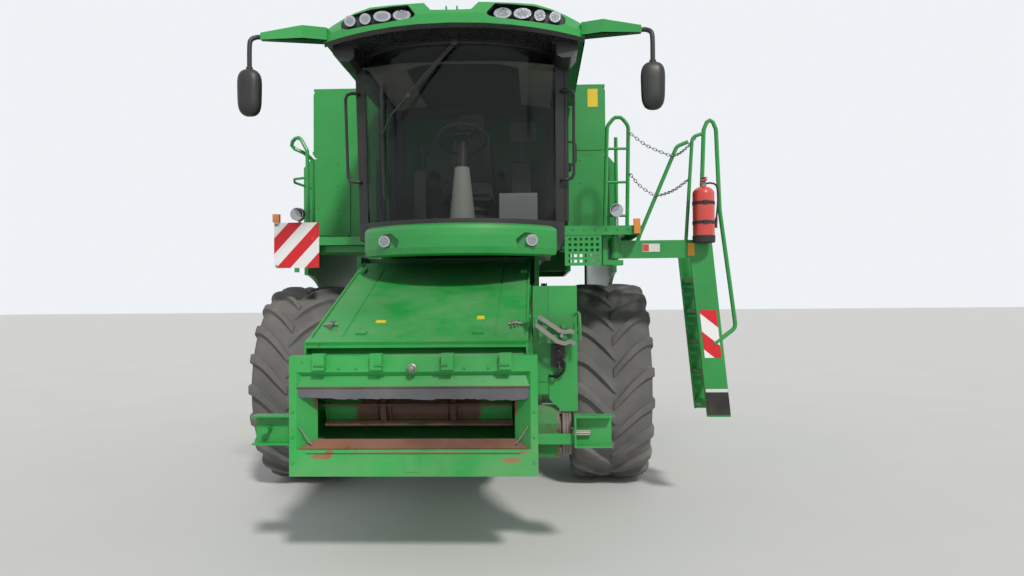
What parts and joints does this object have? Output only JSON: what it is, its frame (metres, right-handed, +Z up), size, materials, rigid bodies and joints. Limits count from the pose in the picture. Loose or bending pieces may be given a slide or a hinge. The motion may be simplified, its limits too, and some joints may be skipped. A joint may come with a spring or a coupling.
{
  "type": "combine harvester",
  "caption": "Full-size self-propelled combine harvester without its header: cab, feeder house, grain tank, unloading auger, side ladder and steered rear axle.",
  "frame": {"origin": "middle of the ground rectangle that the whole machine covers, on the ground under the tyres", "axes": "+Z up, +Y to the rear of the machine, +X to its left side, so that it drives towards -Y"},
  "size_m": [4.2858, 9.6763, 3.965],
  "materials": {
    "green_paint": "gloss",
    "yellow_paint": "gloss",
    "red_paint": "gloss",
    "grey_paint": "satin",
    "black_plastic": "matte",
    "grey_plastic": "matte",
    "amber_lens": "clear",
    "lamp_lens": "clear",
    "black_rubber": "matte",
    "tyre_rubber": "dusty",
    "tinted_glass": "clear",
    "bare_steel": "bright",
    "rusty_steel": "rusty",
    "chromed_rod": "polished",
    "seat_fabric": "woven",
    "striped_board": "gloss"
  },
  "bodies": {
    "chassis": {"main_frame": "green_paint", "front_axle": "green_paint", "threshing_body": "green_paint", "cleaning_shoe": "green_paint", "grain_tank": "green_paint", "engine_block": "grey_paint", "engine_hood": "green_paint", "straw_hood": "green_paint", "front_panels": "green_paint", "cab_base": "black_plastic", "cab_frame": "black_plastic", "cab_glass": "tinted_glass", "cab_roof": "green_paint", "cab_apron": "green_paint", "operator_seat": "seat_fabric", "steering_column": "grey_plastic", "mirrors": "black_plastic", "roof_lamps": "lamp_lens", "left_platform": "green_paint", "right_platform": "green_paint", "marker_lamps": "amber_lens", "warning_board": "striped_board", "exhaust_pipe": "bare_steel"},
    "rear_axle": {"rear_axle": "green_paint"},
    "knuckle_left": {"knuckle_left": "green_paint"},
    "knuckle_right": {"knuckle_right": "green_paint"},
    "tie_rod": {"tie_rod": "grey_paint"},
    "wheel_front_left": {"rim_front_left": "yellow_paint", "tyre_front_left": "tyre_rubber"},
    "wheel_front_right": {"rim_front_right": "yellow_paint", "tyre_front_right": "tyre_rubber"},
    "wheel_rear_left": {"rim_rear_left": "yellow_paint", "tyre_rear_left": "tyre_rubber"},
    "wheel_rear_right": {"rim_rear_right": "yellow_paint", "tyre_rear_right": "tyre_rubber"},
    "feeder": {"feeder_house": "green_paint", "feeder_face": "green_paint", "feeder_chain": "rusty_steel", "feeder_curtain": "black_rubber", "feeder_drive": "grey_paint", "feeder_wings": "green_paint", "header_coupler": "bare_steel"},
    "feeder_drum": {"feeder_drum": "rusty_steel"},
    "lift_barrel_left": {"lift_barrel_left": "green_paint"},
    "lift_barrel_right": {"lift_barrel_right": "green_paint"},
    "lift_rod_left": {"lift_rod_left": "chromed_rod"},
    "lift_rod_right": {"lift_rod_right": "chromed_rod"},
    "radiator_screen": {"radiator_screen": "black_plastic"},
    "cab_door": {"cab_door": "black_plastic", "door_glass": "tinted_glass"},
    "ladder": {"ladder": "green_paint", "fire_extinguisher": "red_paint"},
    "auger": {"unloading_auger": "green_paint", "auger_spout": "black_rubber"},
    "tank_cover_left": {"tank_cover_left": "green_paint"},
    "tank_cover_right": {"tank_cover_right": "green_paint"},
    "side_shield_left": {"side_shield_left": "green_paint"},
    "side_shield_right": {"side_shield_right": "green_paint"},
    "spreader_left": {"spreader_left": "rusty_steel"},
    "spreader_right": {"spreader_right": "rusty_steel"}
  },
  "joints": [
    {"name": "wheel_front_left_spin", "type": "hinge", "parent": "chassis", "child": "wheel_front_left", "pos_m": [1.16, -1.885, 0.965], "axis": [1, 0, 0], "continuous": true},
    {"name": "wheel_front_right_spin", "type": "hinge", "parent": "chassis", "child": "wheel_front_right", "pos_m": [-1.79, -1.885, 0.965], "axis": [1, 0, 0], "continuous": true},
    {"name": "rear_axle_swing", "type": "hinge", "parent": "chassis", "child": "rear_axle", "pos_m": [-0.315, 1.845, 0.98], "axis": [0, 1, 0], "range_deg": [-8, 8]},
    {"name": "steer_left", "type": "hinge", "parent": "rear_axle", "child": "knuckle_left", "pos_m": [0.855, 1.845, 0.75], "axis": [0, 0, 1], "range_deg": [-35, 35]},
    {"name": "steer_right", "type": "hinge", "parent": "rear_axle", "child": "knuckle_right", "pos_m": [-1.485, 1.845, 0.75], "axis": [0, 0, 1], "range_deg": [-35, 35]},
    {"name": "tie_rod_slide", "type": "slide", "parent": "rear_axle", "child": "tie_rod", "axis": [1, 0, 0], "range_m": [-0.203, 0.203]},
    {"name": "wheel_rear_left_spin", "type": "hinge", "parent": "knuckle_left", "child": "wheel_rear_left", "pos_m": [1.235, 1.845, 0.75], "axis": [1, 0, 0], "continuous": true},
    {"name": "wheel_rear_right_spin", "type": "hinge", "parent": "knuckle_right", "child": "wheel_rear_right", "pos_m": [-1.865, 1.845, 0.75], "axis": [1, 0, 0], "continuous": true},
    {"name": "feeder_lift", "type": "hinge", "parent": "chassis", "child": "feeder", "pos_m": [-0.315, -2.835, 1.75], "axis": [1, 0, 0], "range_deg": [-17.5, 5.5]},
    {"name": "feeder_drum_spin", "type": "hinge", "parent": "feeder", "child": "feeder_drum", "pos_m": [-0.315, -4.44161, 1.04907], "axis": [1, 0, 0], "continuous": true},
    {"name": "lift_barrel_left_pivot", "type": "hinge", "parent": "chassis", "child": "lift_barrel_left", "pos_m": [0.26, -2.235, 0.62], "axis": [1, 0, 0], "range_deg": [-9, 4]},
    {"name": "lift_rod_left_slide", "type": "slide", "parent": "lift_barrel_left", "child": "lift_rod_left", "axis": [0, -0.9811, 0.1935], "range_m": [-0.11, 0.32]},
    {"name": "lift_barrel_right_pivot", "type": "hinge", "parent": "chassis", "child": "lift_barrel_right", "pos_m": [-0.89, -2.235, 0.62], "axis": [1, 0, 0], "range_deg": [-9, 4]},
    {"name": "lift_rod_right_slide", "type": "slide", "parent": "lift_barrel_right", "child": "lift_rod_right", "axis": [0, -0.9811, 0.1935], "range_m": [-0.11, 0.32]},
    {"name": "radiator_screen_spin", "type": "hinge", "parent": "chassis", "child": "radiator_screen", "pos_m": [-1.555, 1.415, 2.8], "axis": [1, 0, 0], "continuous": true},
    {"name": "cab_door_hinge", "type": "hinge", "parent": "chassis", "child": "cab_door", "pos_m": [0.747, -2.631, 3], "axis": [0, 0, 1], "range_deg": [0, 75]},
    {"name": "ladder_swing", "type": "hinge", "parent": "chassis", "child": "ladder", "pos_m": [1.135, -3.185, 2.2], "axis": [0, 0, 1], "range_deg": [-90, 0]},
    {"name": "auger_swing", "type": "hinge", "parent": "chassis", "child": "auger", "pos_m": [1.09, -1.535, 3.01], "axis": [0, 0, 1], "range_deg": [-100, 0]},
    {"name": "tank_cover_left_hinge", "type": "hinge", "parent": "chassis", "child": "tank_cover_left", "pos_m": [1.199, -0.685, 3.952], "axis": [0, 1, 0], "range_deg": [0, 100]},
    {"name": "tank_cover_right_hinge", "type": "hinge", "parent": "chassis", "child": "tank_cover_right", "pos_m": [-1.829, -0.685, 3.952], "axis": [0, 1, 0], "range_deg": [-100, 0]},
    {"name": "side_shield_left_hinge", "type": "hinge", "parent": "chassis", "child": "side_shield_left", "pos_m": [1.265, 0.415, 2.795], "axis": [0, 1, 0], "range_deg": [-70, 0]},
    {"name": "side_shield_right_hinge", "type": "hinge", "parent": "chassis", "child": "side_shield_right", "pos_m": [-1.895, 0.415, 2.795], "axis": [0, 1, 0], "range_deg": [0, 70]},
    {"name": "spreader_left_spin", "type": "hinge", "parent": "chassis", "child": "spreader_left", "pos_m": [0.085, 3.365, 0.9], "axis": [0, 0, 1], "continuous": true},
    {"name": "spreader_right_spin", "type": "hinge", "parent": "chassis", "child": "spreader_right", "pos_m": [-0.715, 3.365, 0.9], "axis": [0, 0, 1], "continuous": true}
  ],
  "couplings": [
    {"joint": "steer_right", "follows": "steer_left", "ratio": 1},
    {"joint": "tie_rod_slide", "follows": "steer_left", "m_per_rad": -0.33},
    {"joint": "lift_barrel_left_pivot", "follows": "feeder_lift", "ratio": 0.4808},
    {"joint": "lift_rod_left_slide", "follows": "feeder_lift", "m_per_rad": -0.9491},
    {"joint": "lift_barrel_right_pivot", "follows": "feeder_lift", "ratio": 0.4808},
    {"joint": "lift_rod_right_slide", "follows": "feeder_lift", "m_per_rad": -0.9491}
  ]
}
